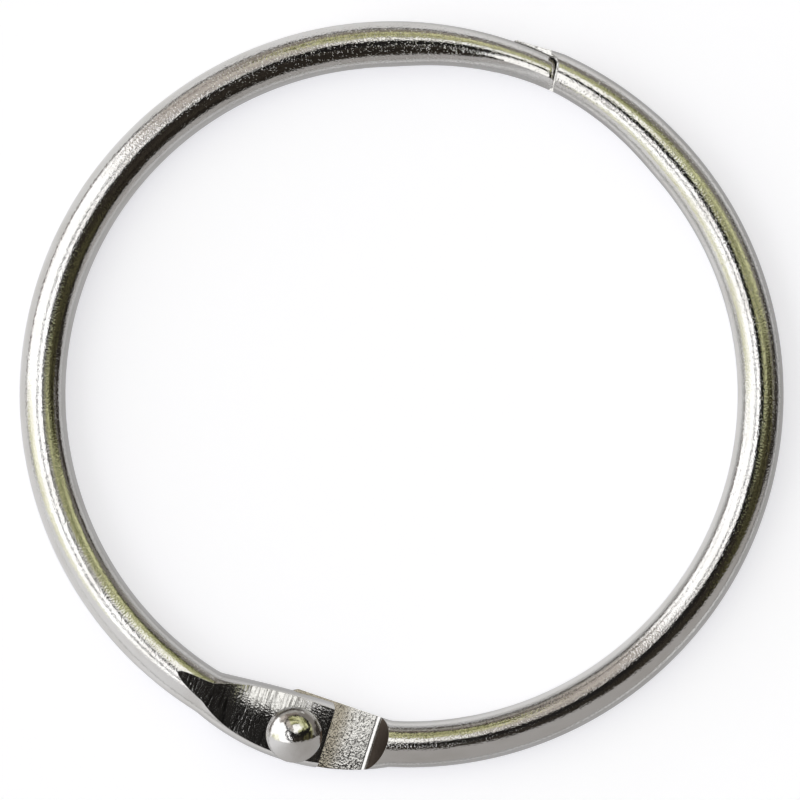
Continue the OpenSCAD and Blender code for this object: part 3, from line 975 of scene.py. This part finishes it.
def socket_tool():
    """What the nose lies in, with an even gap round the nose."""
    outer, wall = NOSE_OUTER_Y + TIP_GAP, NOSE_FROM - TIP_GAP
    lip = LIP_L - NOSE_SLOPE * (TIP_GAP + NOSE_CORNER_R)
    outline = [(wall, -REACH), (wall, outer), (lip, outer), (lip, REACH), (2 * REACH, REACH),
               (2 * REACH, -REACH)]
    return prism(outline, -LAP_GAP / 2, REACH, leaning_frame(), {1: NOSE_CORNER_R + TIP_GAP})


def tongue_tool():
    """What is outside the tongue's rounded tip."""
    outer = (ARC_R + WIRE_R - TONGUE_STEP - own_distance(RIGHT, PARTING_AT)
             - arc_drop(LAP_L))
    inner = outer - (SOCKET_W - TONGUE_STEP)
    tip = LAP_L - TIP_GAP / 2
    x = tip - TONGUE_CORNER_R - TONGUE_RUN
    outline = [(x, REACH), (x, outer + TONGUE_SLANT), (tip, outer), (tip, inner),
               (x, inner - TONGUE_SLANT), (x, -REACH), (2 * REACH, -REACH), (2 * REACH, REACH)]
    return prism(outline, -REACH, REACH, closure_frame(),
                 {2: TONGUE_CORNER_R, 3: TONGUE_CORNER_R})


cut(left_wire, nose_tool(), wire_finish[LEFT])
cut(left_wire, nose_lap_tool(), milled_lap)
cut(left_wire, ball(PIP_R + PIP_CLEAR, LAP_GAP / 2 + PIP_HEIGHT), sheared)
cut(right_wire, socket_tool(), milled_lap)
cut(right_wire, tongue_tool(), wire_finish[RIGHT])
cut(right_wire, ball(PIP_R, PIP_HEIGHT - LAP_GAP / 2), sheared, operation="UNION")
print("after the closure:", len(left_wire.data.polygons), "and",
      len(right_wire.data.polygons), "faces")

# %% [markdown]
# ## Sharp where a tool left an edge
# The wire is shaded smooth, but a smooth shade must not run round the edge of a cut. Faces cut
# by a tool carry its finish, so an edge between two finishes is a real one, however shallow.
# The rest is told by its angle. Last, the piece comes to metres and onto the table.

# %% Finish the meshes
SHARP_DEG = 20
MERGED, TINY = 0.0005, 0.0003


def finish_piece(piece):
    """Cleans the mesh, brings it onto the table and marks its real edges as sharp."""
    mesh = bmesh.new()
    mesh.from_mesh(piece.data)
    bmesh.ops.remove_doubles(mesh, verts=mesh.verts, dist=MERGED)
    bmesh.ops.dissolve_degenerate(mesh, edges=mesh.edges, dist=TINY)
    bmesh.ops.recalc_face_normals(mesh, faces=mesh.faces)
    onto_table = Matrix.Diagonal((MM, MM, MM, 1)) @ Matrix.Translation((0, 0, WIRE_R))
    bmesh.ops.transform(mesh, matrix=onto_table, verts=mesh.verts)
    for face in mesh.faces:
        face.smooth = True
    for edge in mesh.edges:
        faces = edge.link_faces
        edge.smooth = (len(faces) == 2 and faces[0].material_index == faces[1].material_index
                       and edge.calc_face_angle(0) < math.radians(SHARP_DEG))
    open_edges = sum(not e.is_manifold for e in mesh.edges)
    mesh.to_mesh(piece.data)
    mesh.free()
    print(piece.name, "has", len(piece.data.polygons), "faces,", open_edges, "open edges and",
          [m.name for m in piece.data.materials])


finish_piece(left_wire)
finish_piece(right_wire)

# %% [markdown]
# ## The rivet
# A rivet is round, so its profile is drawn once and spun a full turn. The dome is a shallow
# cap of a sphere. Its tail is flattened level with the underside of the wire.

# %% Spin the rivet
HEAD_R, HEAD_H = 2.125, 1.0
HEAD_FIT, HEAD_UNDERCUT = 0.05, 0.04
TAIL_R, TAIL_BEVEL = 1.6, 0.15
DOME_STEPS = 32
UNEVEN_SCALE, UNEVEN_SHARE, UNEVEN_RANGE = 0.9, 0.8, (0.4, 0.9)
RIVET_GRAIN, RIVET_GRAIN_SHARE, RIVET_RELIEF = 7.0, 0.2, 0.03
RIVET_ROUGH, GRAIN_ROUGH = 0.05, 0.08


def rivet_profile():
    """Points from the top of the dome down to the middle of the tail."""
    dome_r = (HEAD_R ** 2 + HEAD_H ** 2) / (2 * HEAD_H)
    rim = math.asin(HEAD_R / dome_r)
    seat = LEAF_T + HEAD_FIT
    turns = [rim * k / DOME_STEPS for k in range(DOME_STEPS + 1)]
    dome = [(dome_r * math.sin(t), seat + HEAD_H - dome_r * (1 - math.cos(t))) for t in turns]
    tail_middle = -(LEAF_T + WIRE_R) / 2
    return dome + [(HEAD_R - HEAD_UNDERCUT, seat), (SHANK_R, seat), (SHANK_R, -LEAF_T),
                   (TAIL_R, -LEAF_T), (TAIL_R, tail_middle), (TAIL_R - TAIL_BEVEL, -WIRE_R),
                   (0, -WIRE_R)]


def rivet_finish():
    """Bright plate, slightly uneven, because a hammer rounded the dome."""
    finish, start, x, y, z = new_finish("bright_rivet")
    uneven = start.vector(x, y, z).noise(UNEVEN_SCALE)
    grain = start.vector(x, y, z).noise(RIVET_GRAIN)
    colour = uneven.ramp_up(*UNEVEN_RANGE).blend(NICKEL, NICKEL_DEEP)
    relief = uneven * UNEVEN_SHARE + grain * RIVET_GRAIN_SHARE
    plated(relief, RIVET_RELIEF, RIVET_ROUGH + GRAIN_ROUGH * grain, colour)
    return finish


turned = bmesh.new()
points = [turned.verts.new((r, 0, z)) for r, z in rivet_profile()]
profile = [turned.edges.new(pair) for pair in zip(points, points[1:])]
bmesh.ops.spin(turned, geom=profile, cent=(0, 0, 0), axis=(0, 0, 1), angle=2 * math.pi,
               steps=TURN_STEPS, use_merge=True)
bmesh.ops.remove_doubles(turned, verts=turned.verts, dist=MERGED)
bmesh.ops.recalc_face_normals(turned, faces=turned.faces)
bmesh.ops.translate(turned, vec=RIVET_AT, verts=turned.verts)
rivet = as_object(turned, "rivet", rivet_finish())
finish_piece(rivet)

# %% [markdown]
# ## Who moves with whom
# The left half swings on the rivet, which is fast in the right half. Each piece rides on its
# CAD body and stands for its CAD node.

# %% Ride and replace
for piece, body, node, slot in (
    (left_wire, "swing_half", "left_half", "wire_plate"),
    (right_wire, "fixed_half", "right_half", "wire_plate"),
    (rivet, "fixed_half", "hinge_rivet", "rivet_plate"),
):
    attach(piece, body)
    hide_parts(node)

dressed_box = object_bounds()
for solid, dressed in zip(solid_box, dressed_box):
    print("box corner moves by", [round(v / MM, 3) for v in dressed - solid], "mm")
